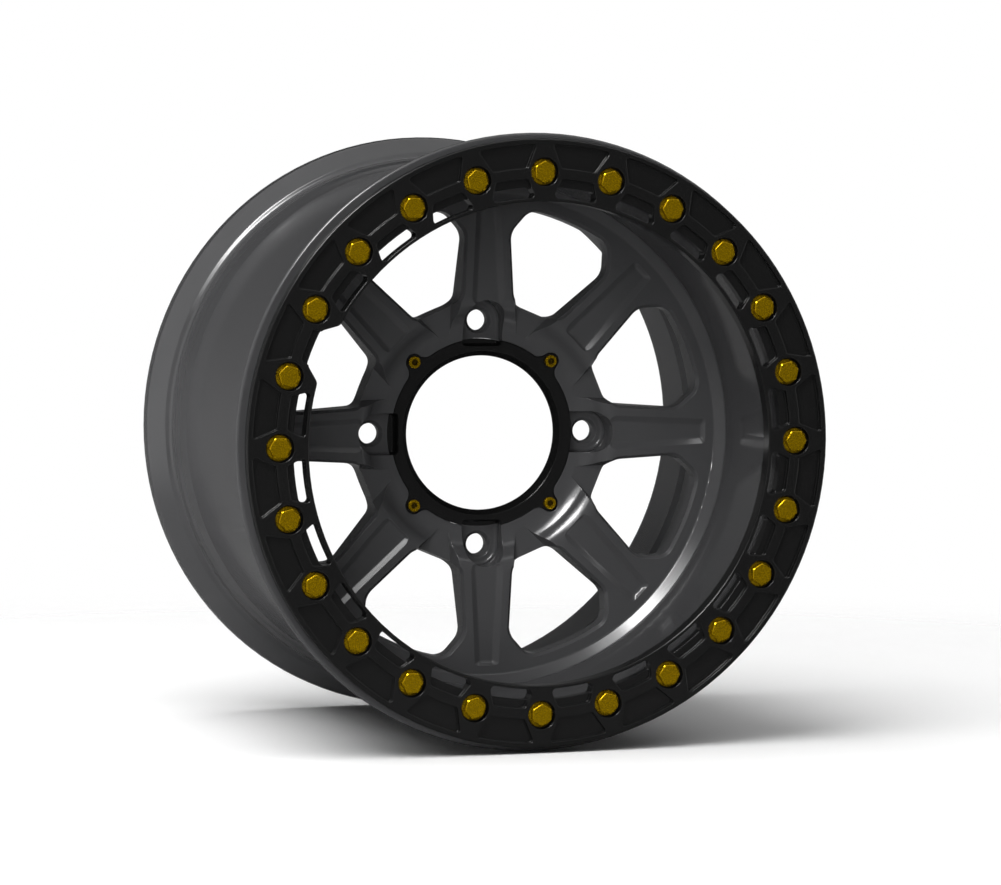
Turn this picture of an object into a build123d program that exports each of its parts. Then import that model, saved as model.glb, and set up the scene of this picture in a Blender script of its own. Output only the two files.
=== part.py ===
from build123d import *
from math import cos, radians, sin, sqrt, tan
import os

# Forged beadlock wheel for a side-by-side vehicle. Millimetres and degrees, +Z up.
# The axle lies along Y and the outer side faces -Y. Stations count forward from the hub
# mounting face, so station s lies at Y = -s. Angles count from +X towards +Z.

# Rim
rim_width = 253.0
backspacing = 129.4
rear_lip_depth = 22.4
lip_radius = 206.0
bead_seat_radius = 190.0
bead_seat_width = 10.6
bead_seat_rise = 0.9
bead_drop = 1.7
bead_drop_width = 5.4
drop_slope_width = 11.6
barrel_radius = 186.0
rear_barrel_wall = 6.5
mid_barrel_wall = 4.5
rear_land_length = 46.0
wall_step_length = 7.0
lip_wall = 6.0
lip_edge_width = 10.0
lip_foot_height = 5.0
lip_lean = 0.5
bead_toe_width = 1.5

# Corner rounds of the turned outline
edge_round = 2.0
ring_seat_round = 1.0
bead_corner = 4.0
flange_root_round = 5.0
lip_back_round = 6.0
barrel_lip_round = 10.0
disc_back_round = 8.0
spoke_back_round = 30.0
hub_back_round = 6.0

# Front flange and the seat of the clamp ring
bead_gap = 8.2
flange_thickness = 5.5
clamp_step = 4.2
front_wall_radius = 172.0
front_wall_draft = 0.8

# Hub
bore_radius = 65.5
hub_thickness = 18.6
hub_dish_angle = 8.0
hub_pad_radius = 88.0
hub_back_radius = 95.0
lug_circle = 156.0
lug_count = 4
lug_hole_radius = 7.2
lug_cone_radius = 9.5
lug_cone_angle = 80.0
lug_pad_thickness = 8.6
lug_pocket_radius = 14.4
lug_pocket_reach = 60.4
lug_pocket_corner = 3.0
lug_pocket_fillet = 2.5

# Spokes and the windows between them
spoke_count = 8
spoke_face = 32.1
spoke_rim_thickness = 12.0
spoke_root_thickness = 20.0
spoke_root_half = 19.2
spoke_tip_half = 16.5
spoke_flare_start = 138.8
spoke_flare_angle = 42.0
spoke_bevel = 2.0
ramp_foot_radius = 78.6
ramp_top_radius = 89.1
ramp_foot_fillet = 21.0
ramp_top_fillet = 17.0
relief_radius = 73.0
relief_angle = 4.0
relief_draft = 22.0
relief_floor_room = 2.0
window_inner = 90.0
window_outer = 157.5
window_draft = 3.0
window_root_corner = 13.0
window_flare_corner = 14.0
window_rim_corner = 12.0
channel_inner = 88.5
channel_outer = 160.2
channel_root_half = 12.0
channel_tip_half = 8.6
channel_depth = 2.2
channel_draft = 62.0
channel_end_draft = 45.0
channel_corner = 3.5
channel_fillet = 3.0
chamfer_foot_radius = 166.6
chamfer_depth = 5.9

# Clamp ring
ring_outer_radius = 202.1
ring_inner_radius = 160.6
ring_rim_thickness = 6.5
ring_edge = 1.0
ring_step_gap = 0.4
bolt_count = 24
bolt_circle = 360.0
bolt_recess_radius = 9.6
bolt_recess_depth = 4.9
pocket_depth = 3.6
outer_pocket_top = 198.6
outer_pocket_foot = 182.7
outer_pocket_top_half = 20.6
outer_pocket_foot_half = 12.0
inner_pocket_top = 175.8
inner_pocket_top_half = 11.2
inner_pocket_foot_half = 15.6
ring_web = 2.3
slot_top = 170.2
outer_pocket_corner = 1.8
inner_pocket_corner = 2.8
notch_angle = 157.5
notch_mouth_half = 20.0
notch_top_half = 12.0
notch_corner = 5.0

# Beadlock bolts
bolt_shank_radius = 4.0
bolt_length = 24.0
bolt_clearance = 0.2
bolt_flange_radius = 8.75
bolt_flange_thickness = 1.6
bolt_head_height = 5.8
bolt_across_flats = 12.9

# Centre ring and its screws
center_ring_gap = 0.2
center_ring_depth = 13.0
center_bore_radius = 53.6
center_bore_land = 1.6
center_bevel_width = 3.6
center_bevel_depth = 4.0
center_relief_radius = 57.0
ear_circle = 140.0
ear_radius = 5.6
ear_thickness = 4.5
ear_gap = 0.5
ear_fillet = 8.0
screw_count = 4
screw_radius = 2.5
screw_length = 14.0
screw_head_radius = 4.5
screw_head_height = 3.0
screw_clearance = 0.2
socket_across_flats = 4.0
socket_depth = 1.8

# Tyre valve, set in the front wall behind the ring's notch
valve_station = 84.0
valve_hole_radius = 4.2
valve_spot_radius = 9.0
valve_outer_spot = 1.5
valve_inner_spot = 0.6
valve_stem_radius = 4.0
valve_head_radius = 8.0
valve_head_height = 3.0
valve_seal_height = 2.5
valve_seal_radius = 7.6
valve_washer_height = 1.4
valve_washer_radius = 7.5
valve_nut_height = 5.0
valve_nut_flats = 12.0
valve_reach = 16.0
valve_cap_radius = 5.0
valve_cap_height = 9.5
valve_cap_wall = 1.6
valve_cap_gap = 0.15
valve_core_radius = 2.2
valve_core_length = 20.0
valve_core_gap = 0.1
valve_angle = notch_angle

# Room left past the end of each blind hole's screw
blind_room = 1.0

# Stations that follow from the sizes above
rear_lip_station = -backspacing
rear_flange_station = rear_lip_station + rear_lip_depth
clamp_station = rear_flange_station + rim_width
flange_station = clamp_station - bead_gap
seat_station = clamp_station - clamp_step
ring_station = clamp_station + ring_rim_thickness
lug_seat_station = lug_pad_thickness
ear_seat_station = hub_thickness - ear_thickness
spoke_rim_back = spoke_face - spoke_rim_thickness
spoke_root_back = spoke_face - spoke_root_thickness
bolt_radius = bolt_circle / 2
lug_radius = lug_circle / 2
ear_place = ear_circle / 2
spoke_pitch = 360 / spoke_count
bolt_pitch = 360 / bolt_count
past_notch = notch_angle + bolt_pitch
ring_thickness = ring_station - seat_station
bolt_seat_station = ring_station - bolt_recess_depth
inner_pocket_foot = ring_inner_radius + ring_web
valve_outer_seat = barrel_radius - valve_outer_spot
chamfer_station = spoke_face + chamfer_depth


def at_station(station):
    """Plane square to the axle, seen from the outer side, with +X right and +Z up."""
    return Plane.XZ.offset(station)


def wall_radius(station):
    """Radius of the dish's drafted front wall at a station."""
    return front_wall_radius + (seat_station - station) * tan(radians(front_wall_draft))


def dish_station(radius):
    """Station of the dished hub face at a radius."""
    return hub_thickness + (radius - bore_radius) * tan(radians(hub_dish_angle))


def relief_station(radius):
    """Station of the floor that runs from the hub face out between two spokes."""
    return dish_station(relief_radius) + (radius - relief_radius) * tan(radians(relief_angle))


def revolve_corners(corners):
    """Closed outline through (radius, station, corner round) triples, for turning about the axle."""
    points = [(radius, -station) for radius, station, corner in corners]
    rounds = [corner for radius, station, corner in corners]
    FilletPolyline(*points, radius=rounds, close=True)


def valve_plane(radius):
    """Plane square to the valve's own axis, at a distance from the axle, facing outwards."""
    outwards = Vector(cos(radians(valve_angle)), 0, sin(radians(valve_angle)))
    return Plane(outwards * radius - Vector(0, valve_station, 0), x_dir=(0, 1, 0), z_dir=outwards)


def beside_spoke(along, aside):
    """Point beside a spoke's centre line, in the frame of the window that lies next to it."""
    half = radians(spoke_pitch / 2)
    return (along * cos(half) + aside * sin(half), aside * cos(half) - along * sin(half))


def mirrored(point):
    return (point[0], -point[1])


def on_arc(radius, half_width):
    """Point on a circle about the axle, half_width above the X axis."""
    return (sqrt(radius**2 - half_width**2), half_width)


def ring_pocket(top, top_half, foot, foot_half, corner):
    """Four-sided pocket with concentric top and foot and straight sides, centred on +X."""
    top_corner = on_arc(top, top_half)
    foot_corner = on_arc(foot, foot_half)
    with BuildSketch() as pocket:
        with BuildLine():
            ThreePointArc(top_corner, (top, 0), mirrored(top_corner))
            Line(mirrored(top_corner), mirrored(foot_corner))
            ThreePointArc(mirrored(foot_corner), (foot, 0), foot_corner)
            Line(foot_corner, top_corner)
        make_face()
        fillet(pocket.vertices(), corner)
    return pocket.sketch


def ear_outline(gap):
    """Outline of the centre ring with its screw ears, let out by a gap for the recess it lies in."""
    with BuildSketch() as outline:
        Circle(bore_radius - center_ring_gap + gap)
        with PolarLocations(ear_place, screw_count, start_angle=45):
            Circle(ear_radius + gap)
        fillet([corner for corner in outline.vertices() if abs(corner.Y) > ear_radius], ear_fillet - gap)
    return outline.sketch


def window_outline(growth):
    """Window between two spokes, centred on +X, let out by a growth on every side."""
    half_pitch = radians(spoke_pitch / 2)
    flare = radians(spoke_flare_angle)
    root_half = spoke_root_half - growth
    root_along = (window_inner - growth - root_half * sin(half_pitch)) / cos(half_pitch)
    flare_along = spoke_flare_start + growth * tan(flare / 2)
    flare_half = spoke_tip_half - growth
    reach = 2 * (window_outer - spoke_flare_start)
    root_low = beside_spoke(root_along, root_half)
    flare_low = beside_spoke(flare_along, flare_half)
    past_rim_low = beside_spoke(flare_along + reach * cos(flare), flare_half + reach * sin(flare))
    low_side = [past_rim_low, flare_low, root_low]
    high_side = [mirrored(point) for point in reversed(low_side)]
    corners = [window_flare_corner - growth, window_root_corner + growth]
    with BuildSketch() as window:
        with BuildLine():
            FilletPolyline(*low_side, *high_side, radius=corners + corners[::-1])
            Line(high_side[-1], low_side[0])
        make_face()
        Circle(window_outer + growth, mode=Mode.INTERSECT)
        fillet(window.vertices().group_by(Axis.X)[-1], window_rim_corner + growth)
    return window.sketch


def relief_outline(growth):
    """Space between two spokes at their roots, centred on +X, let out by a growth on both sides."""
    low_in = beside_spoke(bore_radius, spoke_root_half - growth)
    low_out = beside_spoke(window_inner + window_root_corner, spoke_root_half - growth)
    with BuildSketch() as space:
        with BuildLine():
            Polyline(low_in, low_out, mirrored(low_out), mirrored(low_in), close=True)
        make_face()
    return space.sketch


# Seat of the valve's washer in the front wall
valve_inner_seat = wall_radius(valve_station) + valve_inner_spot

# Window cut between two spokes, with drafted walls and a bevel along the spokes' faces
bevel_foot = spoke_face - spoke_bevel
bevel_room = spoke_face + spoke_bevel
window_back = -spoke_bevel
with BuildPart() as window_cut:
    with BuildSketch(at_station(window_back)):
        add(window_outline((window_back - bevel_foot) * tan(radians(window_draft))))
    with BuildSketch(at_station(bevel_foot)):
        add(window_outline(0))
    with BuildSketch(at_station(bevel_room)):
        add(window_outline(bevel_room - bevel_foot))
    loft(ruled=True)

# Channel sunk in a spoke's face, with sloping walls all round, centred on +X
with BuildPart() as channel:
    for height in (channel_depth, -channel_depth):
        spread = height * tan(radians(channel_draft))
        end_spread = height * tan(radians(channel_end_draft))
        with BuildSketch(at_station(spoke_face + height)):
            with BuildLine():
                Polyline(
                    (channel_inner - end_spread, channel_root_half + spread),
                    (channel_outer + end_spread, channel_tip_half + spread),
                    (channel_outer + end_spread, -channel_tip_half - spread),
                    (channel_inner - end_spread, -channel_root_half - spread),
                    close=True,
                )
            make_face()
    loft()
    wall_corners = [edge for edge in channel.edges() if edge.bounding_box().size.Y > channel_depth]
    fillet(wall_corners, channel_corner)
    fillet(channel.faces().sort_by(Axis.Y)[-1].edges(), channel_fillet)

# Space cut down to the dished hub face between two spokes, with sloping walls, centred on +X
relief_floor_end = window_inner + 2 * window_root_corner
with BuildPart() as root_relief:
    for station in (hub_thickness - relief_floor_room, spoke_face + relief_floor_room):
        with BuildSketch(at_station(station)):
            add(relief_outline((station - spoke_face) * tan(radians(relief_draft))))
    loft()
    with BuildSketch():
        with BuildLine():
            Polyline(
                (0, -relief_station(0)),
                (relief_floor_end, -relief_station(relief_floor_end)),
                (relief_floor_end, 0),
                (0, 0),
                close=True,
            )
        make_face()
    revolve(axis=Axis.Y, mode=Mode.SUBTRACT)

# Pocket around a lug hole, open towards the bore, that clears the nut and its socket
with BuildPart() as lug_pocket:
    with BuildSketch(at_station(lug_seat_station)):
        with Locations(((lug_pocket_reach + lug_radius) / 2, 0)):
            Rectangle(lug_radius - lug_pocket_reach, 2 * lug_pocket_radius)
        with Locations((lug_radius, 0)):
            Circle(lug_pocket_radius)
        fillet(vertices().group_by(Axis.X)[0], lug_pocket_corner)
    extrude(amount=2 * spoke_face)
    fillet(faces().sort_by(Axis.Y)[-1].edges(), lug_pocket_fillet)

# Forged wheel
rear_inner_radius = barrel_radius - rear_barrel_wall
mid_inner_radius = barrel_radius - mid_barrel_wall
seat_end_station = rear_flange_station + bead_seat_width
drop_station = seat_end_station + bead_drop_width
with BuildPart() as wheel:
    with BuildSketch():
        with BuildLine():
            revolve_corners(
                [
                    (bore_radius, 0, 0),
                    (hub_pad_radius, 0, edge_round),
                    (hub_back_radius, spoke_root_back, hub_back_round),
                    (spoke_flare_start, spoke_rim_back, spoke_back_round),
                    (mid_inner_radius, spoke_rim_back, disc_back_round),
                    (mid_inner_radius, rear_flange_station + rear_land_length + wall_step_length, 0),
                    (rear_inner_radius, rear_flange_station + rear_land_length, 0),
                    (rear_inner_radius, rear_flange_station, barrel_lip_round),
                    (lip_radius - lip_wall, rear_lip_station, edge_round),
                    (lip_radius, rear_lip_station, edge_round),
                    (lip_radius, rear_lip_station + lip_edge_width, lip_back_round),
                    (bead_seat_radius + lip_foot_height, rear_flange_station - lip_lean, bead_corner),
                    (bead_seat_radius + bead_seat_rise, rear_flange_station + bead_toe_width, bead_corner),
                    (bead_seat_radius, seat_end_station, 0),
                    (bead_seat_radius - bead_drop, drop_station, 0),
                    (barrel_radius, drop_station + drop_slope_width, 0),
                    (barrel_radius, flange_station - flange_thickness, flange_root_round),
                    (lip_radius, flange_station - flange_thickness, edge_round),
                    (lip_radius, flange_station, edge_round),
                    (bead_seat_radius, flange_station, edge_round),
                    (bead_seat_radius, seat_station, ring_seat_round),
                    (front_wall_radius, seat_station, ring_seat_round),
                    (wall_radius(chamfer_station), chamfer_station, edge_round),
                    (chamfer_foot_radius, spoke_face, edge_round),
                    (ramp_top_radius, spoke_face, ramp_top_fillet),
                    (ramp_foot_radius, dish_station(ramp_foot_radius), ramp_foot_fillet),
                    (bore_radius, hub_thickness, 0),
                ]
            )
        make_face()
    revolve(axis=Axis.Y)
    for window in range(spoke_count):
        add(window_cut.part.rotate(Axis.Y, (window + 0.5) * spoke_pitch), mode=Mode.SUBTRACT)
    for spoke in range(spoke_count):
        add(channel.part.rotate(Axis.Y, spoke * spoke_pitch), mode=Mode.SUBTRACT)
    for lug in range(lug_count):
        add(lug_pocket.part.rotate(Axis.Y, lug * 360 / lug_count), mode=Mode.SUBTRACT)
    with Locations(at_station(lug_seat_station)):
        with PolarLocations(lug_radius, lug_count):
            CounterSinkHole(lug_hole_radius, lug_cone_radius, counter_sink_angle=lug_cone_angle)
    with BuildSketch(at_station(ear_seat_station)):
        add(ear_outline(ear_gap))
    extrude(amount=2 * ear_thickness, mode=Mode.SUBTRACT)
    with BuildSketch(at_station(ear_seat_station)):
        with PolarLocations(ear_place, screw_count, start_angle=45):
            Circle(screw_radius + screw_clearance)
    extrude(amount=-(screw_length - ear_thickness + blind_room), mode=Mode.SUBTRACT)
    with BuildSketch(at_station(seat_station)):
        with PolarLocations(bolt_radius, bolt_count):
            Circle(bolt_shank_radius + bolt_clearance)
    extrude(amount=-(bolt_length - bolt_seat_station + seat_station + blind_room), mode=Mode.SUBTRACT)
    with BuildSketch(valve_plane(valve_inner_seat)):
        Circle(valve_hole_radius)
    extrude(amount=barrel_radius - front_wall_radius, mode=Mode.SUBTRACT)
    with BuildSketch(valve_plane(valve_outer_seat)):
        Circle(valve_spot_radius)
    extrude(amount=2 * valve_outer_spot, mode=Mode.SUBTRACT)
    with BuildSketch(valve_plane(valve_inner_seat)):
        Circle(valve_spot_radius)
    extrude(amount=-2 * valve_inner_spot, mode=Mode.SUBTRACT)
    for window in range(spoke_count):
        add(root_relief.part.rotate(Axis.Y, (window + 0.5) * spoke_pitch), mode=Mode.SUBTRACT)
wheel.part.label = "wheel"

# Opening of the clamp ring with the notch that leaves the tyre valve in reach, notch on +X
notch_mouth = on_arc(ring_inner_radius, notch_mouth_half)
notch_top = on_arc(slot_top, notch_top_half)
with BuildSketch() as ring_opening:
    with BuildLine():
        Polyline((0, 0), notch_mouth, notch_top)
        ThreePointArc(notch_top, (slot_top, 0), mirrored(notch_top))
        Polyline(mirrored(notch_top), mirrored(notch_mouth), (0, 0))
    make_face()
    top_corners = [corner for corner in ring_opening.vertices() if corner.X > notch_mouth[0] + 1]
    fillet(top_corners, notch_corner)
    Circle(ring_inner_radius)
    mouth_corners = [corner for corner in ring_opening.vertices() if abs(corner.X - notch_mouth[0]) < 1]
    fillet(mouth_corners, notch_corner)

# Clamp ring
slot_share = (inner_pocket_top - slot_top) / (inner_pocket_top - inner_pocket_foot)
slot_top_half = inner_pocket_top_half + slot_share * (inner_pocket_foot_half - inner_pocket_top_half)
outer_pocket = ring_pocket(
    outer_pocket_top, outer_pocket_top_half, outer_pocket_foot, outer_pocket_foot_half, outer_pocket_corner
)
inner_pocket = ring_pocket(
    inner_pocket_top, inner_pocket_top_half, inner_pocket_foot, inner_pocket_foot_half, inner_pocket_corner
)
drain_slot = ring_pocket(
    slot_top, slot_top_half, inner_pocket_foot, inner_pocket_foot_half, inner_pocket_corner
)
shelf_foot = slot_top - inner_pocket_corner
notch_shelf = ring_pocket(
    inner_pocket_top, inner_pocket_top_half, shelf_foot, notch_top_half, inner_pocket_corner
)
with BuildPart() as beadlock_ring:
    with BuildSketch(at_station(clamp_station)):
        Circle(ring_outer_radius)
    extrude(amount=ring_rim_thickness)
    with BuildSketch(at_station(seat_station)):
        Circle(bead_seat_radius + ring_step_gap)
    extrude(amount=clamp_step)
    with BuildSketch(at_station(seat_station)):
        with PolarLocations(0, 1, start_angle=notch_angle):
            add(ring_opening.sketch)
    extrude(amount=ring_thickness, mode=Mode.SUBTRACT)
    fillet(faces().sort_by(Axis.Y)[0].edges(), ring_edge)
    with BuildSketch(at_station(ring_station)):
        with PolarLocations(0, bolt_count, start_angle=bolt_pitch / 2):
            add(outer_pocket)
    extrude(amount=-pocket_depth, mode=Mode.SUBTRACT)
    with BuildSketch(at_station(ring_station)):
        with PolarLocations(0, bolt_count - 1, start_angle=past_notch, angular_range=360 - bolt_pitch):
            add(inner_pocket)
        with PolarLocations(0, 1, start_angle=notch_angle):
            add(notch_shelf)
    extrude(amount=-pocket_depth, mode=Mode.SUBTRACT)
    with BuildSketch(at_station(seat_station)):
        with PolarLocations(0, bolt_count - 1, start_angle=past_notch, angular_range=360 - bolt_pitch):
            add(drain_slot)
    extrude(amount=ring_thickness, mode=Mode.SUBTRACT)
    with BuildSketch(at_station(ring_station)):
        with PolarLocations(bolt_radius, bolt_count):
            Circle(bolt_recess_radius)
    extrude(amount=-bolt_recess_depth, mode=Mode.SUBTRACT)
    with BuildSketch(at_station(seat_station)):
        with PolarLocations(bolt_radius, bolt_count):
            Circle(bolt_shank_radius + bolt_clearance)
    extrude(amount=ring_thickness, mode=Mode.SUBTRACT)
beadlock_ring.part.label = "beadlock_ring"

# Flanged bolts of the clamp ring, each with a corner of its head towards the axle
with BuildPart() as beadlock_bolts:
    with BuildSketch(at_station(bolt_seat_station)):
        with PolarLocations(bolt_radius, bolt_count):
            Circle(bolt_flange_radius)
    extrude(amount=bolt_flange_thickness)
    with BuildSketch(at_station(bolt_seat_station)):
        with PolarLocations(bolt_radius, bolt_count):
            RegularPolygon(bolt_across_flats / 2, 6, major_radius=False)
    extrude(amount=bolt_head_height)
    with BuildSketch(at_station(bolt_seat_station)):
        with PolarLocations(bolt_radius, bolt_count):
            Circle(bolt_shank_radius)
    extrude(amount=-bolt_length)
beadlock_bolts.part.label = "beadlock_bolts"

# Centre ring that closes the bore behind the lugs
center_back = hub_thickness - center_ring_depth
center_land_front = hub_thickness - center_bevel_depth
center_land_back = center_land_front - center_bore_land
with BuildPart() as center_ring:
    with BuildSketch(at_station(ear_seat_station)):
        add(ear_outline(0))
    extrude(amount=ear_thickness)
    with BuildSketch(at_station(center_back)):
        Circle(bore_radius - center_ring_gap)
    extrude(amount=center_ring_depth - ear_thickness)
    with BuildSketch():
        with BuildLine():
            Polyline(
                (0, -center_back),
                (center_relief_radius, -center_back),
                (center_relief_radius, -center_land_back),
                (center_bore_radius, -center_land_back),
                (center_bore_radius, -center_land_front),
                (center_bore_radius + center_bevel_width, -hub_thickness),
                (0, -hub_thickness),
                close=True,
            )
        make_face()
    revolve(axis=Axis.Y, mode=Mode.SUBTRACT)
    for lug in range(lug_count):
        add(lug_pocket.part.rotate(Axis.Y, lug * 360 / lug_count), mode=Mode.SUBTRACT)
    with BuildSketch(at_station(ear_seat_station)):
        with PolarLocations(ear_place, screw_count, start_angle=45):
            Circle(screw_radius + screw_clearance)
    extrude(amount=ear_thickness, mode=Mode.SUBTRACT)
center_ring.part.label = "center_ring"

# Socket-head screws of the centre ring
with BuildPart() as center_ring_screws:
    with BuildSketch(at_station(hub_thickness)):
        with PolarLocations(ear_place, screw_count, start_angle=45):
            Circle(screw_head_radius)
    extrude(amount=screw_head_height)
    with BuildSketch(at_station(hub_thickness)):
        with PolarLocations(ear_place, screw_count, start_angle=45):
            Circle(screw_radius)
    extrude(amount=-screw_length)
    with BuildSketch(at_station(hub_thickness + screw_head_height)):
        with PolarLocations(ear_place, screw_count, start_angle=45):
            RegularPolygon(socket_across_flats / 2, 6, major_radius=False)
    extrude(amount=-socket_depth, mode=Mode.SUBTRACT)
center_ring_screws.part.label = "center_ring_screws"

# Tyre valve, from its head on the air side inwards to the cap
valve_head_seat = valve_outer_seat + valve_seal_height
valve_tip = valve_inner_seat - valve_reach
valve_bore_radius = valve_core_radius + valve_core_gap
with BuildPart() as valve_stem:
    with BuildSketch(valve_plane(valve_head_seat)):
        Circle(valve_head_radius)
    extrude(amount=valve_head_height)
    with BuildSketch(valve_plane(valve_tip)):
        Circle(valve_stem_radius)
    extrude(amount=valve_head_seat - valve_tip)
    with BuildSketch(valve_plane(valve_tip)):
        Circle(valve_bore_radius)
    extrude(amount=valve_head_seat + valve_head_height - valve_tip, mode=Mode.SUBTRACT)
valve_stem.part.label = "valve_stem"

with BuildPart() as valve_seal:
    with BuildSketch(valve_plane(valve_outer_seat)):
        Circle(valve_seal_radius)
        Circle(valve_hole_radius, mode=Mode.SUBTRACT)
    extrude(amount=valve_seal_height)
valve_seal.part.label = "valve_seal"

with BuildPart() as valve_washer:
    with BuildSketch(valve_plane(valve_inner_seat)):
        Circle(valve_washer_radius)
        Circle(valve_hole_radius, mode=Mode.SUBTRACT)
    extrude(amount=-valve_washer_height)
valve_washer.part.label = "valve_washer"

with BuildPart() as valve_nut:
    with BuildSketch(valve_plane(valve_inner_seat - valve_washer_height)):
        RegularPolygon(valve_nut_flats / 2, 6, major_radius=False)
        Circle(valve_stem_radius + valve_cap_gap, mode=Mode.SUBTRACT)
    extrude(amount=-valve_nut_height)
valve_nut.part.label = "valve_nut"

with BuildPart() as valve_core:
    with BuildSketch(valve_plane(valve_tip)):
        Circle(valve_core_radius)
    extrude(amount=valve_core_length)
valve_core.part.label = "valve_core"

with BuildPart() as valve_cap:
    with BuildSketch(valve_plane(valve_tip - valve_cap_wall)):
        Circle(valve_cap_radius)
    extrude(amount=valve_cap_height)
    with BuildSketch(valve_plane(valve_tip)):
        Circle(valve_stem_radius + valve_cap_gap)
    extrude(amount=valve_cap_height - valve_cap_wall, mode=Mode.SUBTRACT)
valve_cap.part.label = "valve_cap"

os.makedirs("parts", exist_ok=True)
export_step(wheel.part, "parts/wheel.step")
export_step(beadlock_ring.part, "parts/beadlock_ring.step")
export_step(beadlock_bolts.part, "parts/beadlock_bolts.step")
export_step(center_ring.part, "parts/center_ring.step")
export_step(center_ring_screws.part, "parts/center_ring_screws.step")
export_step(valve_stem.part, "parts/valve_stem.step")
export_step(valve_seal.part, "parts/valve_seal.step")
export_step(valve_washer.part, "parts/valve_washer.step")
export_step(valve_nut.part, "parts/valve_nut.step")
export_step(valve_core.part, "parts/valve_core.step")
export_step(valve_cap.part, "parts/valve_cap.step")
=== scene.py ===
"""Looks of the beadlock wheel: finishes, clamp bolts, centre screws, floor, light and camera."""
import math

import bmesh
import bpy
from mathutils import Matrix, Vector


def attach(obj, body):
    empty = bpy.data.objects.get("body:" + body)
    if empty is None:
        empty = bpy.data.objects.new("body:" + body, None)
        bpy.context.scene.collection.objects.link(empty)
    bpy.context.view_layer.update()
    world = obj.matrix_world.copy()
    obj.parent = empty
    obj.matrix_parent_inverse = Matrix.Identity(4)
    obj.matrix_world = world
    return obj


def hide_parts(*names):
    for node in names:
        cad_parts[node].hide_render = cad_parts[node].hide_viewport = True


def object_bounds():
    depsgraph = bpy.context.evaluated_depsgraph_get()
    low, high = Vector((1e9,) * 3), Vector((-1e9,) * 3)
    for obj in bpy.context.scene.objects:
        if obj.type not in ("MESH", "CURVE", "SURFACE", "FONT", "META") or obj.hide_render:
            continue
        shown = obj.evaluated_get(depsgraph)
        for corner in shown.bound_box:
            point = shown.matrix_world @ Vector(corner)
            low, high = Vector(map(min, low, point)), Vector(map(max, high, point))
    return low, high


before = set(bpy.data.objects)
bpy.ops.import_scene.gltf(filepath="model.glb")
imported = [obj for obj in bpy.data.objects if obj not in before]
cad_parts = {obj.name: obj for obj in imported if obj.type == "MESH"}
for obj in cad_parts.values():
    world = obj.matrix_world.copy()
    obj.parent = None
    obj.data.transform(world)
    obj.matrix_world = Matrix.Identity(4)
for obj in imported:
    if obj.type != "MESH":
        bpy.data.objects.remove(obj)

bl_info = {
    "name": "Beadlock wheel looks",
    "version": (1, 0, 0),
    "blender": (4, 5, 0),
    "location": "3D View > Sidebar > Wheel",
    "description": "Finishes, fasteners and stage for a forged beadlock wheel",
    "category": "Object",
}

MM = 0.001
WHITE = (1, 1, 1, 1)
BODY = "root"
CAD_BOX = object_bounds()

# Stage, in metres
FLOOR_Z = CAD_BOX[0].z
FLOOR_SIDE = 8.0
FLOOR_FADE_START = 0.45
FLOOR_FADE_END = 1.0
FLAG_WIDTH = 12.0
FLAG_HEIGHT = 8.0
FRONT_FLAG_Y = -3.4
BACK_FLAG_Y = 2.5
FLAG_SHADE_START = -0.3
FLAG_SHADE_END = 1.2
LAMP_AIM = (0, -0.04, 0)

# Camera
PHOTO_WIDTH_PX = 1001
SENSOR_WIDTH_MM = 36
VIEW_DEPTH = 100

# Meshes of the fasteners
BOLT_STEPS = 96
SCREW_STEPS = 72
SHARP_ANGLE = math.radians(20)

# Nodes: most values of a noise lie between the first two. A Mix node's colour sockets go by number,
# because their names repeat.
NOISE_LOW, NOISE_HIGH = 0.3, 0.7
MIX_FACTOR, MIX_FIRST, MIX_SECOND, MIX_RESULT = 0, 6, 7, 2


# Sizes and colours that a user would change


class WheelFinish(bpy.types.PropertyGroup):
    """Colours and gloss of the coated, plated and moulded surfaces"""

    wheel_coat: bpy.props.StringProperty(
        name="Wheel coat",
        description="sRGB colour of the coat on the forged wheel",
        default="#383839",
    )
    ring_coat: bpy.props.StringProperty(
        name="Ring coat",
        description="sRGB colour of the coat on the clamp ring and the centre ring",
        default="#0D0D0D",
    )
    bolt_plating: bpy.props.StringProperty(
        name="Bolt plating",
        description="sRGB colour of the plating on bolts and screws",
        default="#AC8A00",
    )
    valve_plating: bpy.props.StringProperty(
        name="Valve plating",
        description="sRGB colour of the valve's stem, nut and washer",
        default="#C9C6BE",
    )
    valve_brass: bpy.props.StringProperty(
        name="Valve brass", description="sRGB colour of the valve's core", default="#C9A45C"
    )
    cap_plastic: bpy.props.StringProperty(
        name="Cap plastic", description="sRGB colour of the valve's cap", default="#1A1A1B"
    )
    seal_rubber: bpy.props.StringProperty(
        name="Seal rubber", description="sRGB colour of the valve's seal", default="#181818"
    )
    edge_round: bpy.props.FloatProperty(
        name="Edge round",
        description="Radius that the coat gives to every edge",
        default=0.5 * MM,
        unit="LENGTH",
    )
    peel_size: bpy.props.FloatProperty(
        name="Orange peel",
        description="Width of one wave of the coat's orange peel",
        default=1.4 * MM,
        unit="LENGTH",
    )


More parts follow.
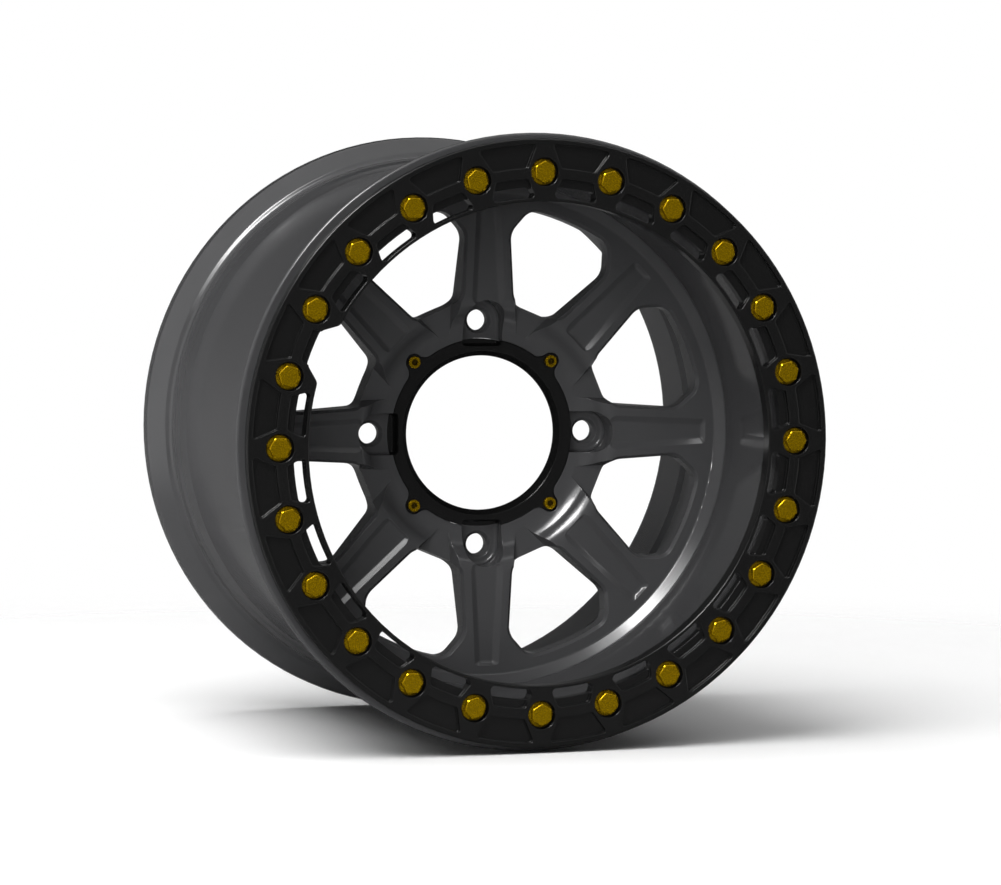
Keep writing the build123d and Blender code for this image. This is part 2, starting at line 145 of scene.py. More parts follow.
class FastenerSizes(bpy.types.PropertyGroup):
    """Sizes of the clamp bolts and the centre screws"""

    bolt_count: bpy.props.IntProperty(
        name="Bolts", description="Bolts in the clamp ring", default=24, min=3
    )
    bolt_circle: bpy.props.FloatProperty(
        name="Bolt circle",
        description="Radius of the circle of bolts",
        default=180 * MM,
        unit="LENGTH",
    )
    bolt_station: bpy.props.FloatProperty(
        name="Bolt seat",
        description="Distance of the bolts' seats in front of the hub face",
        default=147.6 * MM,
        unit="LENGTH",
    )
    bolt_flats: bpy.props.FloatProperty(
        name="Across flats",
        description="Width of a bolt's hexagon",
        default=12.9 * MM,
        unit="LENGTH",
    )
    flange_radius: bpy.props.FloatProperty(
        name="Flange radius",
        description="Radius of a bolt's flange",
        default=8.75 * MM,
        unit="LENGTH",
    )
    head_height: bpy.props.FloatProperty(
        name="Head height",
        description="Height of a bolt's head over its seat",
        default=5.8 * MM,
        unit="LENGTH",
    )
    shank_radius: bpy.props.FloatProperty(
        name="Shank radius",
        description="Radius of a bolt's shank",
        default=4.0 * MM,
        unit="LENGTH",
    )
    shank_length: bpy.props.FloatProperty(
        name="Shank length",
        description="Length of a bolt's shank under its seat",
        default=24 * MM,
        unit="LENGTH",
    )
    screw_count: bpy.props.IntProperty(
        name="Screws", description="Screws in the centre ring", default=4, min=2
    )
    screw_circle: bpy.props.FloatProperty(
        name="Screw circle",
        description="Radius of the circle of centre screws",
        default=70 * MM,
        unit="LENGTH",
    )
    screw_station: bpy.props.FloatProperty(
        name="Screw seat",
        description="Distance of the screws' seats in front of the hub face",
        default=18.6 * MM,
        unit="LENGTH",
    )
    screw_turn: bpy.props.FloatProperty(
        name="First screw",
        description="Place of the first screw on its circle",
        default=math.radians(45),
        subtype="ANGLE",
    )
    screw_head: bpy.props.FloatProperty(
        name="Screw head",
        description="Radius of a screw's head",
        default=4.2 * MM,
        unit="LENGTH",
    )
    screw_height: bpy.props.FloatProperty(
        name="Screw height",
        description="Height of a screw's head over its seat",
        default=3.0 * MM,
        unit="LENGTH",
    )
    socket_flats: bpy.props.FloatProperty(
        name="Socket",
        description="Width of a screw's hexagon socket",
        default=4.0 * MM,
        unit="LENGTH",
    )
    screw_shank: bpy.props.FloatProperty(
        name="Screw shank",
        description="Radius of a screw's shank",
        default=2.5 * MM,
        unit="LENGTH",
    )
    screw_length: bpy.props.FloatProperty(
        name="Screw length",
        description="Length of a screw's shank under its seat",
        default=14 * MM,
        unit="LENGTH",
    )


class StageSettings(bpy.types.PropertyGroup):
    """Floor, light and camera"""

    floor_colour: bpy.props.StringProperty(
        name="Floor", description="sRGB colour of the floor", default="#FAFAFA"
    )
    floor_mirrored: bpy.props.StringProperty(
        name="Floor in the coat",
        description="sRGB colour of the floor that the dark coats reflect",
        default="#6B6B6B",
    )
    key_power: bpy.props.FloatProperty(
        name="Key softbox",
        description="Power of the softbox that glints in the coats",
        default=85,
        unit="POWER",
    )
    high_power: bpy.props.FloatProperty(
        name="High light",
        description="Power of the light at the upper left",
        default=62,
        unit="POWER",
    )
    fill_power: bpy.props.FloatProperty(
        name="Fill light",
        description="Power of the wide fill beside the camera",
        default=85,
        unit="POWER",
    )
    side_power: bpy.props.FloatProperty(
        name="Side lights",
        description="Power of the wide light at each side",
        default=62,
        unit="POWER",
    )
    back_power: bpy.props.FloatProperty(
        name="Back light",
        description="Power of the wide light behind the wheel",
        default=90,
        unit="POWER",
    )
    floor_power: bpy.props.FloatProperty(
        name="Floor lights",
        description="Power of the two lights on the floor alone",
        default=100,
        unit="POWER",
    )
    sky: bpy.props.FloatProperty(
        name="Sky", description="Strength of the light from all round", default=0.10
    )
    front_flag: bpy.props.FloatProperty(
        name="Front flag",
        description="Brightness of the dark flag behind the camera",
        default=0.13,
    )
    back_flag: bpy.props.FloatProperty(
        name="Back flag",
        description="Brightness of the foot of the flag behind the wheel",
        default=0.17,
    )
    high_flag: bpy.props.FloatProperty(
        name="Back flag top",
        description="Brightness of the top of the flag behind the wheel",
        default=0.04,
    )
    focal_px: bpy.props.FloatProperty(
        name="Focal length",
        description="Focal length in pixels of the photograph",
        default=4078.56,
    )
    azimuth: bpy.props.FloatProperty(
        name="Azimuth",
        description="Camera's turn round the wheel",
        default=math.radians(-18.0182),
        subtype="ANGLE",
    )
    elevation: bpy.props.FloatProperty(
        name="Elevation",
        description="Camera's height over the axle",
        default=math.radians(3.4783),
        subtype="ANGLE",
    )
    roll: bpy.props.FloatProperty(
        name="Roll",
        description="Camera's roll",
        default=math.radians(0.2846),
        subtype="ANGLE",
    )
    distance: bpy.props.FloatProperty(
        name="Distance",
        description="Camera's distance from its target",
        default=2690.56 * MM,
        unit="LENGTH",
    )
    target: bpy.props.FloatVectorProperty(
        name="Target",
        description="Point that the camera looks at",
        default=(-29.657 * MM, -151.6 * MM, 1.702 * MM),
        subtype="TRANSLATION",
    )


# Node and mesh helpers


def linear(hex_colour):
    """Linear RGBA of an sRGB hex colour."""
    channels = [int(hex_colour[i : i + 2], 16) / 255 for i in (1, 3, 5)]
    return (*[c / 12.92 if c <= 0.04045 else ((c + 0.055) / 1.055) ** 2.4 for c in channels], 1.0)


def shade(hex_colour, factor):
    """Linear colour made darker or paler."""
    red, green, blue, alpha = linear(hex_colour)
    return (red * factor, green * factor, blue * factor, alpha)


def add_node(tree, kind, inputs=None, **settings):
    """Adds a node, sets its properties, and sets or links its inputs by name or number."""
    node = tree.nodes.new(kind)
    for key, value in settings.items():
        setattr(node, key, value)
    for key, value in (inputs or {}).items():
        if isinstance(value, bpy.types.NodeSocket):
            tree.links.new(value, node.inputs[key])
        else:
            node.inputs[key].default_value = value
    return node


def new_material(name):
    """Empty node material and its tree."""
    material = bpy.data.materials.new(name)
    material.use_nodes = True
    tree = material.node_tree
    tree.nodes.clear()
    return material, tree


def close_material(tree, shader):
    """Links the last shader to the material's output."""
    add_node(tree, "ShaderNodeOutputMaterial", {"Surface": shader.outputs[0]})


def dress(node_name, material):
    """Gives a CAD node its finish."""
    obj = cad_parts[node_name]
    obj.data.materials.clear()
    obj.data.materials.append(material)


def finish_piece(obj, material_slot, *nodes):
    """Fixes a finished piece to the wheel in place of the CAD nodes it stands for."""
    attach(obj, BODY)
    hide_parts(*nodes)


# Finishes


def edge_mask(tree, rounded):
    """Goes from 0 on open surfaces to 1 on edges, where the rounded normal leaves the true one."""
    cos_open, cos_edge = 0.995, 0.90
    true = add_node(tree, "ShaderNodeNewGeometry").outputs["Normal"]
    along = add_node(
        tree, "ShaderNodeVectorMath", {0: rounded, 1: true}, operation="DOT_PRODUCT"
    ).outputs["Value"]
    return add_node(
        tree, "ShaderNodeMapRange", {"Value": along, "From Min": cos_open, "From Max": cos_edge}
    ).outputs["Result"]


# Powder coat, sprayed and baked on aluminium. The eye gets a dark body under a clear gloss: the
# orange peel softens what it mirrors, its tone and roughness drift over a few centimetres, and it
# is thinner and paler along edges.
def coated_metal(name, colour, roughness, gloss, peel_size, edge_round):
    """Dark coat with a clear gloss over it, softly waved and paler along its edges."""
    cloud_size = 45 * MM
    tone_drift = 0.14
    rough_drift = 0.03
    edge_gain = 1.4
    material, tree = new_material(name)
    place = add_node(tree, "ShaderNodeTexCoord").outputs["Object"]
    edges = add_node(tree, "ShaderNodeBevel", {"Radius": edge_round}, samples=6).outputs["Normal"]
    peel = add_node(
        tree, "ShaderNodeTexNoise", {"Vector": place, "Scale": 1 / peel_size, "Detail": 1.5}
    ).outputs["Fac"]
    bump = add_node(
        tree,
        "ShaderNodeBump",
        {"Strength": 0.1, "Distance": 0.05 * MM, "Height": peel, "Normal": edges},
    ).outputs["Normal"]
    cloud = add_node(
        tree, "ShaderNodeTexNoise", {"Vector": place, "Scale": 1 / cloud_size, "Detail": 4.0}
    ).outputs["Fac"]
    tone = add_node(
        tree,
        "ShaderNodeMix",
        {
            MIX_FACTOR: cloud,
            MIX_FIRST: shade(colour, 1 - tone_drift),
            MIX_SECOND: shade(colour, 1 + tone_drift),
        },
        data_type="RGBA",
    ).outputs[MIX_RESULT]
    worn = add_node(
        tree,
        "ShaderNodeMix",
        {
            MIX_FACTOR: edge_mask(tree, edges),
            MIX_FIRST: tone,
            MIX_SECOND: shade(colour, edge_gain),
        },
        data_type="RGBA",
    ).outputs[MIX_RESULT]
    rough = add_node(
        tree,
        "ShaderNodeMapRange",
        {
            "Value": cloud,
            "From Min": NOISE_LOW,
            "From Max": NOISE_HIGH,
            "To Min": roughness - rough_drift,
            "To Max": roughness + rough_drift,
        },
    ).outputs["Result"]
    shader = add_node(
        tree,
        "ShaderNodeBsdfPrincipled",
        {
            "Base Color": worn,
            "Roughness": rough,
            "IOR": 1.5,
            "Specular IOR Level": 0.0,
            "Normal": bump,
            "Coat Weight": gloss,
            "Coat Roughness": 0.15,
            "Coat IOR": 1.5,
            "Coat Normal": bump,
        },
    )
    close_material(tree, shader)
    return material


# Yellow zinc, plated on steel. The eye gets a gold metal that is nearly black in its corners: it
# mirrors the black ring there, and painted shade darkens its colour where ambient occlusion finds
# corners and sockets. The plating's grain is too fine to show, so it is drawn 0.7 mm wide.
def gold_plating(name, colour, shade_reach):
    """Gold metal with a fine grain and painted shade in corners narrower than the shade reach."""
    grain_size = 0.7 * MM
    grain_drift = 0.1
    painted_corner_shade = 0.05
    material, tree = new_material(name)
    place = add_node(tree, "ShaderNodeTexCoord").outputs["Object"]
    grain = add_node(
        tree, "ShaderNodeTexNoise", {"Vector": place, "Scale": 1 / grain_size, "Detail": 3.0}
    ).outputs["Fac"]
    bump = add_node(
        tree, "ShaderNodeBump", {"Strength": 0.06, "Distance": 0.05 * MM, "Height": grain}
    ).outputs["Normal"]
    rough = add_node(
        tree,
        "ShaderNodeMapRange",
        {
            "Value": grain,
            "From Min": NOISE_LOW,
            "From Max": NOISE_HIGH,
            "To Min": 0.20,
            "To Max": 0.30,
        },
    ).outputs["Result"]
    # Painted shade: ambient occlusion within the shade reach darkens the colour in corners and
    # sockets
    corner_occlusion = add_node(
        tree, "ShaderNodeAmbientOcclusion", {"Distance": shade_reach}, samples=8
    ).outputs["AO"]
    unshaded_share = add_node(
        tree, "ShaderNodeMapRange", {"Value": corner_occlusion, "From Min": 0.30, "From Max": 0.75}
    ).outputs["Result"]
    plated = add_node(
        tree,
        "ShaderNodeMix",
        {
            MIX_FACTOR: grain,
            MIX_FIRST: shade(colour, 1 - grain_drift),
            MIX_SECOND: shade(colour, 1 + grain_drift),
        },
        data_type="RGBA",
    ).outputs[MIX_RESULT]
    # Colour with painted shade: the plating is darkened towards painted_corner_shade where
    # occlusion is strong
    tone = add_node(
        tree,
        "ShaderNodeMix",
        {MIX_FACTOR: unshaded_share, MIX_FIRST: shade(colour, painted_corner_shade), MIX_SECOND: plated},
        data_type="RGBA",
    ).outputs[MIX_RESULT]
    shader = add_node(
        tree,
        "ShaderNodeBsdfPrincipled",
        {"Base Color": tone, "Metallic": 0.85, "Roughness": rough, "Normal": bump},
    )
    close_material(tree, shader)
    return material


# Turned brass, bare or nickel plated. The eye gets a bright metal with a slightly uneven gloss. The
# turning marks are too fine to show, so their grain is drawn 0.4 mm wide.
def turned_metal(name, colour, roughness):
    """Bright turned metal of the valve's small parts."""
    grain_size = 0.4 * MM
    rough_drift = 0.08
    material, tree = new_material(name)
    place = add_node(tree, "ShaderNodeTexCoord").outputs["Object"]
    grain = add_node(
        tree, "ShaderNodeTexNoise", {"Vector": place, "Scale": 1 / grain_size, "Detail": 2.0}
    ).outputs["Fac"]
    rough = add_node(
        tree,
        "ShaderNodeMapRange",
        {"Value": grain, "To Min": roughness - rough_drift, "To Max": roughness + rough_drift},
    ).outputs["Result"]
    shader = add_node(
        tree,
        "ShaderNodeBsdfPrincipled",
        {"Base Color": linear(colour), "Metallic": 1.0, "Roughness": rough},
    )
    close_material(tree, shader)
    return material


# Rubber or plastic from a spark-eroded mould. The eye gets a dull black with a fine, even grain,
# drawn coarser than the mould's own so that it shows.
def moulded_black(name, colour, roughness, grain_size):
    """Dull moulded rubber or plastic of the valve's seal and cap."""
    material, tree = new_material(name)
    place = add_node(tree, "ShaderNodeTexCoord").outputs["Object"]
    grain = add_node(
        tree, "ShaderNodeTexNoise", {"Vector": place, "Scale": 1 / grain_size, "Detail": 2.0}
    ).outputs["Fac"]
    bump = add_node(
        tree, "ShaderNodeBump", {"Strength": 0.3, "Distance": 0.05 * MM, "Height": grain}
    ).outputs["Normal"]
    shader = add_node(
        tree,
        "ShaderNodeBsdfPrincipled",
        {"Base Color": linear(colour), "Roughness": roughness, "Normal": bump},
    )
    close_material(tree, shader)
    return material


# Fasteners


def lathe_rings(mesh, rings, steps):
    """Skins rings of points about the Y axis. A ring is a function of the angle: radius, height."""
    loops = []
    for ring in rings:
        loop = []
        for step in range(steps):
            angle = 2 * math.pi * step / steps
            radius, height = ring(angle)
            point = (radius * math.cos(angle), -height, radius * math.sin(angle))
            loop.append(mesh.verts.new(point))
        loops.append(loop)
    for low, high in zip(loops, loops[1:]):
        for i in range(steps):
            j = (i + 1) % steps
            mesh.faces.new((low[i], high[i], high[j], low[j]))
    mesh.faces.new(loops[0])
    mesh.faces.new(tuple(reversed(loops[-1])))


def hex_radius(flats, angle):
    """Distance from the centre to a hexagon's side at an angle from one of its corners."""
    return flats / 2 / math.cos(angle % (math.pi / 3) - math.pi / 6)


def mesh_object(name, mesh):
    """Object of a finished bmesh, smooth apart from its sharp edges."""
    bmesh.ops.recalc_face_normals(mesh, faces=mesh.faces)
    data = bpy.data.meshes.new(name)
    mesh.to_mesh(data)
    mesh.free()
    data.shade_smooth()
    data.set_sharp_from_angle(angle=SHARP_ANGLE)
    obj = bpy.data.objects.new(name, data)
    bpy.context.scene.collection.objects.link(obj)
    return obj


def clamp_bolt(sizes):
    """One flanged hexagon bolt, its head along -Y, seat at the origin."""
    flats = sizes.bolt_flats
    flange = sizes.flange_radius
    shank = sizes.shank_radius
    length = sizes.shank_length
    top = sizes.head_height
    rim = 1.6 * MM
    edge = 0.25 * MM
    shoulder = 2.1 * MM
    root_width = 0.15 * MM
    root_height = 0.3 * MM
    top_edge = 0.35 * MM
    chamfer = 0.54 * flats
    slope = math.tan(math.radians(30))
    rings = [
        lambda a: (shank - edge, -length),
        lambda a: (shank, -length + edge),
        lambda a: (shank, 0),
        lambda a: (flange - edge, 0),
        lambda a: (flange, edge),
        lambda a: (flange, rim - edge),
        lambda a: (flange - edge, rim),
        lambda a: (hex_radius(flats, a) + root_width, shoulder),
        lambda a: (hex_radius(flats, a), shoulder + root_height),
        lambda a: (
            hex_radius(flats, a),
            top - top_edge - max(0, hex_radius(flats, a) - chamfer) * slope,
        ),
        lambda a: (min(hex_radius(flats, a), chamfer) - top_edge, top),
    ]
    mesh = bmesh.new()
    lathe_rings(mesh, rings, BOLT_STEPS)
    return mesh_object("clamp_bolt_pattern", mesh)


def center_screw(sizes):
    """One socket-head screw, its head along -Y, seat at the origin."""
    head = sizes.screw_head
    top = sizes.screw_height
    flats = sizes.socket_flats
    shank = sizes.screw_shank
    length = sizes.screw_length
    tip_edge = 0.3 * MM
    head_edge = 0.5 * MM
    round_off = 0.3 * head_edge
    socket_edge = 0.25 * MM
    socket_depth = 2.6 * MM
    drill_depth = 3.2 * MM
    drill_tip = 0.05 * MM
    rings = [
        lambda a: (shank - tip_edge, -length),
        lambda a: (shank, -length + tip_edge),
        lambda a: (shank, 0),
        lambda a: (head, 0),
        lambda a: (head, top - head_edge),
        lambda a: (head - round_off, top - round_off),
        lambda a: (head - head_edge, top),
        lambda a: (hex_radius(flats, a) + socket_edge, top),
        lambda a: (hex_radius(flats, a), top - socket_edge),
        lambda a: (hex_radius(flats, a), top - socket_depth),
        lambda a: (drill_tip, top - drill_depth),
    ]
    mesh = bmesh.new()
    lathe_rings(mesh, rings, SCREW_STEPS)
    return mesh_object("center_screw_pattern", mesh)


def fastener_circle_tree():
    """Geometry nodes that set one fastener on a circle about the axle, turned with its place."""
    tree = bpy.data.node_groups.new("Fastener circle", "GeometryNodeTree")
    sockets = {
        "Fastener": "NodeSocketObject",
        "Count": "NodeSocketInt",
        "Radius": "NodeSocketFloat",
        "Station": "NodeSocketFloat",
        "First angle": "NodeSocketFloat",
        "Finish": "NodeSocketMaterial",
    }
    for label, kind in sockets.items():
        tree.interface.new_socket(label, in_out="INPUT", socket_type=kind)
    tree.interface.new_socket("Geometry", in_out="OUTPUT", socket_type="NodeSocketGeometry")
    given = add_node(tree, "NodeGroupInput").outputs
    circle = add_node(
        tree, "GeometryNodeMeshCircle", {"Vertices": given["Count"], "Radius": given["Radius"]}
    )
    tilt = add_node(tree, "ShaderNodeCombineXYZ", {"X": math.radians(90)}).outputs["Vector"]
    forward = add_node(
        tree, "ShaderNodeMath", {0: given["Station"], 1: -1.0}, operation="MULTIPLY"
    ).outputs[0]
    shift = add_node(tree, "ShaderNodeCombineXYZ", {"Y": forward}).outputs["Vector"]
    upright = add_node(
        tree,
        "GeometryNodeTransform",
        {"Geometry": circle.outputs["Mesh"], "Rotation": tilt, "Translation": shift},
    )
    back_turn = add_node(
        tree, "ShaderNodeMath", {0: given["First angle"], 1: -1.0}, operation="MULTIPLY"
    ).outputs[0]
    turn_axis = add_node(tree, "ShaderNodeCombineXYZ", {"Y": back_turn}).outputs["Vector"]
    turned = add_node(
        tree,
        "GeometryNodeTransform",
        {"Geometry": upright.outputs["Geometry"], "Rotation": turn_axis},
    )
    index = add_node(tree, "GeometryNodeInputIndex").outputs["Index"]
    share = add_node(
        tree, "ShaderNodeMath", {0: index, 1: given["Count"]}, operation="DIVIDE"
    ).outputs[0]
    place_turn = add_node(
        tree,
        "ShaderNodeMath",
        {0: share, 1: -2 * math.pi, 2: back_turn},
        operation="MULTIPLY_ADD",
    ).outputs[0]
    spin = add_node(tree, "ShaderNodeCombineXYZ", {"Y": place_turn}).outputs["Vector"]
    part = add_node(tree, "GeometryNodeObjectInfo", {"Object": given["Fastener"]})
    placed = add_node(
        tree,
        "GeometryNodeInstanceOnPoints",
        {
            "Points": turned.outputs["Geometry"],
            "Instance": part.outputs["Geometry"],
            "Rotation": spin,
        },
    )
    real = add_node(
        tree, "GeometryNodeRealizeInstances", {"Geometry": placed.outputs["Instances"]}
    )
    finished = add_node(
        tree,
        "GeometryNodeSetMaterial",
        {"Geometry": real.outputs["Geometry"], "Material": given["Finish"]},
    )
    add_node(tree, "NodeGroupOutput", {"Geometry": finished.outputs["Geometry"]})
    return tree


def fastener_circle(name, inputs):
    """Runs the fastener circle and returns its result as one plain mesh."""
    tree = bpy.data.node_groups.get("Fastener circle") or fastener_circle_tree()
    carrier = bpy.data.objects.new(name, bpy.data.meshes.new(name))
    bpy.context.scene.collection.objects.link(carrier)
    modifier = carrier.modifiers.new("Fasteners", "NODES")
    modifier.node_group = tree
    for socket in tree.interface.items_tree:
        if socket.in_out == "INPUT":
            modifier[socket.identifier] = inputs[socket.name]
    evaluated = carrier.evaluated_get(bpy.context.evaluated_depsgraph_get())
    mesh = bpy.data.meshes.new_from_object(evaluated)
    carrier.modifiers.clear()
    carrier.data = mesh
    mesh.name = name
    bpy.data.objects.remove(inputs["Fastener"])
    return carrier


# Stage


def flat_panel(name, width, height, material):
    """Rectangle about the origin that faces +Z, with its material."""
    mesh = bmesh.new()
    scale = Matrix.Diagonal((width, height, 1, 1))
    bmesh.ops.create_grid(mesh, x_segments=1, y_segments=1, size=0.5, matrix=scale)
    data = bpy.data.meshes.new(name)
    mesh.to_mesh(data)
    mesh.free()
    data.materials.append(material)
    panel = bpy.data.objects.new(name, data)
    bpy.context.scene.collection.objects.link(panel)
    return panel


def make_floor(stage):
    """Pale floor that keeps the wheel's shadow and fades into the white backdrop."""
    material, tree = new_material("Matt white studio floor")
    place = add_node(tree, "ShaderNodeTexCoord").outputs["Object"]
    away = add_node(
        tree, "ShaderNodeVectorMath", {0: place}, operation="LENGTH"
    ).outputs["Value"]
    fade = add_node(
        tree,
        "ShaderNodeMapRange",
        {"Value": away, "From Min": FLOOR_FADE_START, "From Max": FLOOR_FADE_END},
        interpolation_type="SMOOTHSTEP",
    ).outputs["Result"]
    mirrored = add_node(tree, "ShaderNodeLightPath").outputs["Is Glossy Ray"]
    tone = add_node(
        tree,
        "ShaderNodeMix",
        {
            MIX_FACTOR: mirrored,
            MIX_FIRST: linear(stage.floor_colour),
            MIX_SECOND: linear(stage.floor_mirrored),
        },
        data_type="RGBA",
    ).outputs[MIX_RESULT]
    matt = add_node(
        tree,
        "ShaderNodeBsdfPrincipled",
        {"Base Color": tone, "Roughness": 0.9, "Specular IOR Level": 0.1},
    ).outputs[0]
    clear = add_node(tree, "ShaderNodeBsdfTransparent").outputs[0]
    close_material(tree, add_node(tree, "ShaderNodeMixShader", {0: fade, 1: matt, 2: clear}))
    floor = flat_panel("floor", FLOOR_SIDE, FLOOR_SIDE, material)
    floor.location.z = FLOOR_Z
    return floor


def make_flag(name, y, low, high):
    """Upright studio flag that only reflections see, shaded upwards. It keeps dark coats dark."""
    material, tree = new_material(f"Cloth of the {name}")
    place = add_node(tree, "ShaderNodeTexCoord").outputs["Object"]
    upward = add_node(tree, "ShaderNodeSeparateXYZ", {"Vector": place}).outputs["Y"]
    shading = add_node(
        tree,
        "ShaderNodeMapRange",
        {
            "Value": upward,
            "From Min": FLAG_SHADE_START,
            "From Max": FLAG_SHADE_END,
            "To Min": low,
            "To Max": high,
        },
        interpolation_type="SMOOTHSTEP",
    ).outputs["Result"]
    glow = add_node(tree, "ShaderNodeEmission", {"Color": WHITE, "Strength": shading})
    close_material(tree, glow)
    flag = flat_panel(name, FLAG_WIDTH, FLAG_HEIGHT, material)
    flag.location.y = y
    flag.rotation_euler.x = math.radians(90)
    flag.visible_camera = False
    flag.visible_diffuse = False
    flag.visible_transmission = False
    flag.visible_shadow = False


def make_world(stage):
    """White to the eye and in reflections, softer as light."""
    world = bpy.data.worlds.new("Studio")
    bpy.context.scene.world = world
    world.use_nodes = True
    tree = world.node_tree
    tree.nodes.clear()
    ray = add_node(tree, "ShaderNodeLightPath").outputs
    seen = add_node(
        tree,
        "ShaderNodeMath",
        {0: ray["Is Camera Ray"], 1: ray["Is Glossy Ray"]},
        operation="MAXIMUM",
    ).outputs[0]
    shown = add_node(
        tree, "ShaderNodeMath", {0: seen, 1: ray["Is Transmission Ray"]}, operation="MAXIMUM"
    ).outputs[0]
    light = add_node(tree, "ShaderNodeBackground", {"Color": WHITE, "Strength": stage.sky})
    white = add_node(tree, "ShaderNodeBackground", {"Color": WHITE, "Strength": 1.0})
    mix = add_node(
        tree, "ShaderNodeMixShader", {0: shown, 1: light.outputs[0], 2: white.outputs[0]}
    )
    add_node(tree, "ShaderNodeOutputWorld", {"Surface": mix.outputs[0]})


def soft_lamp(name, place, width, height, power):
    """Rectangular softbox aimed at the wheel."""
    data = bpy.data.lights.new(name, "AREA")
    data.shape = "RECTANGLE"
    data.size = width
    data.size_y = height
    data.energy = power
    lamp = bpy.data.objects.new(name, data)
    lamp.location = place
    lamp.rotation_mode = "QUATERNION"
    lamp.rotation_quaternion = (Vector(LAMP_AIM) - Vector(place)).to_track_quat("-Z", "Y")
    bpy.context.scene.collection.objects.link(lamp)
    return lamp


def lit_only(name, lamps, objects):
    """Keeps some lamps to some objects, so the floor is white with no more light on the wheel."""
    lit = bpy.data.collections.new(name)
    for obj in objects:
        lit.objects.link(obj)
    for lamp in lamps:
        lamp.light_linking.receiver_collection = lit


def make_lamps(stage, floor, wheel):
    """A softbox that shows in the coats, wide lights that don't, and two lights for the floor."""
    above = Vector((-1.12, -1.50, 1.82))
    # In one plane the two would take light from each other in reflections
    nearer = 0.97 * above
    mirrored = (
        soft_lamp("key softbox", above, 1.2, 1.8, 0.4 * stage.key_power),
        soft_lamp("heart of the key softbox", nearer, 0.6, 1.0, 0.6 * stage.key_power),
    )
    wide = (
        soft_lamp("high light", above, 0.8, 1.3, stage.high_power),
        soft_lamp("fill beside the camera", (-1.53, -2.99, 0.51), 2.0, 2.0, stage.fill_power),
        soft_lamp("side light", (-3.0, 0.4, -0.1), 1.2, 1.0, stage.side_power),
        soft_lamp("right light", (3.0, 0.9, 0.6), 1.2, 1.0, stage.side_power),
        soft_lamp("back light", (0.9, 3.0, 0.5), 2.0, 2.0, stage.back_power),
    )
    overhead = (
        soft_lamp("floor light", (-0.9, -0.45, 2.0), 2.0, 2.0, 0.62 * stage.floor_power),
        soft_lamp("wide floor light", (0, -0.5, 2.0), 4.0, 4.0, 0.40 * stage.floor_power),
    )
    for lamp in mirrored:
        lamp.visible_diffuse = False
    for lamp in wide + overhead:
        lamp.visible_glossy = False
    lit_only("Lit by the floor lights", overhead, (floor,))
    lit_only("Lit by the other lights", wide, wheel)


def make_camera(stage):
    """Camera at the photograph's angle."""
    data = bpy.data.cameras.new("camera")
    data.sensor_width = SENSOR_WIDTH_MM
    data.lens = stage.focal_px / PHOTO_WIDTH_PX * SENSOR_WIDTH_MM
    data.clip_end = VIEW_DEPTH
    a, e = stage.azimuth, stage.elevation
    back = Vector((math.sin(a) * math.cos(e), -math.cos(a) * math.cos(e), math.sin(e)))
    right = Vector((math.cos(a), math.sin(a), 0))
    up = back.cross(right)
    turned_right = right * math.cos(stage.roll) + up * math.sin(stage.roll)
    turned_up = up * math.cos(stage.roll) - right * math.sin(stage.roll)
    turn = Matrix((turned_right, turned_up, back)).transposed().to_4x4()
    camera = bpy.data.objects.new("camera", data)
    camera.matrix_world = Matrix.Translation(Vector(stage.target) + back * stage.distance) @ turn
    bpy.context.scene.collection.objects.link(camera)
    bpy.context.scene.camera = camera


# Operators and panel


class WHEEL_OT_forged_wheel(bpy.types.Operator):
    """Give the forged wheel its coat"""

    bl_idname = "wheel.forged_wheel"
    bl_label = "Forged wheel"

    def execute(self, context):
        finish = context.scene.wheel_finish
        coat = coated_metal(
            "Satin black powder coat on forged aluminium",
            finish.wheel_coat,
            roughness=0.45,
            gloss=1.0,
            peel_size=finish.peel_size,
            edge_round=finish.edge_round,
        )
        dress("wheel", coat)
        return {"FINISHED"}


class WHEEL_OT_rings(bpy.types.Operator):
    """Give the clamp ring and the centre ring their coat"""

    bl_idname = "wheel.rings"
    bl_label = "Clamp ring and centre ring"

    def execute(self, context):
        finish = context.scene.wheel_finish
        coat = coated_metal(
            "Gloss black powder coat on machined aluminium",
            finish.ring_coat,
            roughness=0.40,
            gloss=0.8,
            peel_size=finish.peel_size,
            edge_round=2 * finish.edge_round,
        )
        dress("beadlock_ring", coat)
        dress("center_ring", coat)
        return {"FINISHED"}


class WHEEL_OT_clamp_bolts(bpy.types.Operator):
    """Set the flanged bolts in the clamp ring"""

    bl_idname = "wheel.clamp_bolts"
    bl_label = "Clamp bolts"

    def execute(self, context):
        sizes = context.scene.fastener_sizes
        colour = context.scene.wheel_finish.bolt_plating
        plating = gold_plating("Yellow zinc plating on steel bolts", colour, shade_reach=2 * MM)
        bolts = fastener_circle(
            "clamp_bolts",
            {
                "Fastener": clamp_bolt(sizes),
                "Count": sizes.bolt_count,
                "Radius": sizes.bolt_circle,
                "Station": sizes.bolt_station,
                "First angle": 0.0,
                "Finish": plating,
            },
        )
        finish_piece(bolts, "gold_zinc_bolts", "beadlock_bolts")
        return {"FINISHED"}


class WHEEL_OT_center_screws(bpy.types.Operator):
    """Set the socket-head screws in the centre ring"""

    bl_idname = "wheel.center_screws"
    bl_label = "Centre screws"

    def execute(self, context):
        sizes = context.scene.fastener_sizes
        colour = context.scene.wheel_finish.bolt_plating
        plating = gold_plating("Yellow zinc plating on steel screws", colour, shade_reach=6 * MM)
        screws = fastener_circle(
            "center_screws",
            {
                "Fastener": center_screw(sizes),
                "Count": sizes.screw_count,
                "Radius": sizes.screw_circle,
                "Station": sizes.screw_station,
                "First angle": sizes.screw_turn,
                "Finish": plating,
            },
        )
        finish_piece(screws, "gold_zinc_bolts", "center_ring_screws")
        return {"FINISHED"}


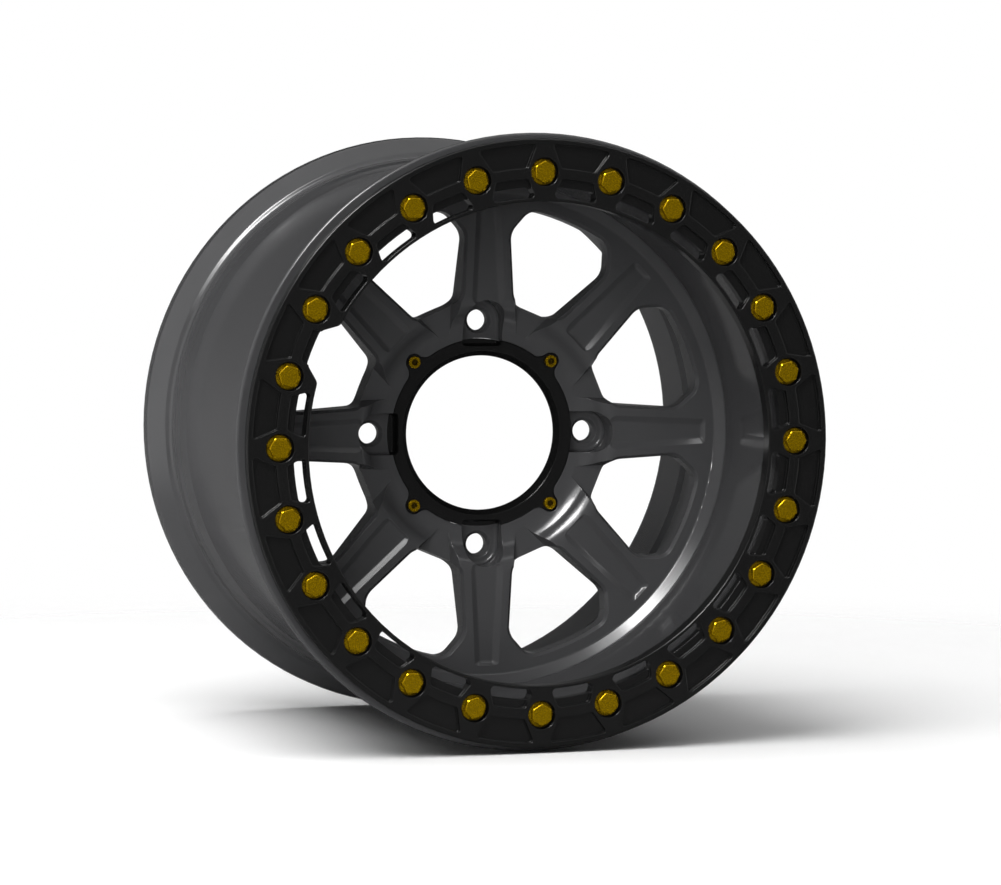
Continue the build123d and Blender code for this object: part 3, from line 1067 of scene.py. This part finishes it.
class WHEEL_OT_valve(bpy.types.Operator):
    """Give the tyre valve its finishes"""

    bl_idname = "wheel.valve"
    bl_label = "Tyre valve"

    def execute(self, context):
        finish = context.scene.wheel_finish
        nickel = turned_metal("Nickel plated brass", finish.valve_plating, roughness=0.28)
        brass = turned_metal("Turned brass", finish.valve_brass, roughness=0.30)
        plastic = moulded_black(
            "Moulded black plastic", finish.cap_plastic, roughness=0.45, grain_size=0.6 * MM
        )
        rubber = moulded_black(
            "Moulded black rubber", finish.seal_rubber, roughness=0.65, grain_size=0.8 * MM
        )
        for node in ("valve_stem", "valve_nut", "valve_washer"):
            dress(node, nickel)
        dress("valve_core", brass)
        dress("valve_cap", plastic)
        dress("valve_seal", rubber)
        return {"FINISHED"}


class WHEEL_OT_stage(bpy.types.Operator):
    """Set up the floor, the light and the camera"""

    bl_idname = "wheel.stage"
    bl_label = "Stage"

    def execute(self, context):
        stage = context.scene.stage_settings
        wheel = [obj for obj in context.scene.objects if obj.type == "MESH"]
        floor = make_floor(stage)
        make_flag("front flag", FRONT_FLAG_Y, stage.front_flag, stage.front_flag)
        make_flag("back flag", BACK_FLAG_Y, stage.back_flag, stage.high_flag)
        make_world(stage)
        make_lamps(stage, floor, wheel)
        make_camera(stage)
        context.scene.view_settings.view_transform = "Standard"
        return {"FINISHED"}


class WHEEL_PT_panel(bpy.types.Panel):
    """Lists the wheel's pieces and the stage"""

    bl_idname = "WHEEL_PT_panel"
    bl_label = "Beadlock wheel"
    bl_space_type = "VIEW_3D"
    bl_region_type = "UI"
    bl_category = "Wheel"

    def draw(self, context):
        for operator in OPERATORS:
            self.layout.operator(operator.bl_idname)
        for name in GROUPS:
            group = getattr(context.scene, name)
            for key in group.bl_rna.properties.keys():
                if key not in ("rna_type", "name"):
                    self.layout.prop(group, key)


GROUPS = {
    "wheel_finish": WheelFinish,
    "fastener_sizes": FastenerSizes,
    "stage_settings": StageSettings,
}
OPERATORS = (
    WHEEL_OT_forged_wheel,
    WHEEL_OT_rings,
    WHEEL_OT_clamp_bolts,
    WHEEL_OT_center_screws,
    WHEEL_OT_valve,
    WHEEL_OT_stage,
)


def register():
    for cls in (*GROUPS.values(), *OPERATORS, WHEEL_PT_panel):
        bpy.utils.register_class(cls)
    for name, group in GROUPS.items():
        setattr(bpy.types.Scene, name, bpy.props.PointerProperty(type=group))


def unregister():
    for name in GROUPS:
        delattr(bpy.types.Scene, name)
    for cls in (WHEEL_PT_panel, *reversed(OPERATORS), *reversed(GROUPS.values())):
        bpy.utils.unregister_class(cls)


def main():
    register()
    bpy.ops.wheel.forged_wheel()
    bpy.ops.wheel.rings()
    bpy.ops.wheel.clamp_bolts()
    bpy.ops.wheel.center_screws()
    bpy.ops.wheel.valve()
    bpy.ops.wheel.stage()


if __name__ == "__main__":
    main()
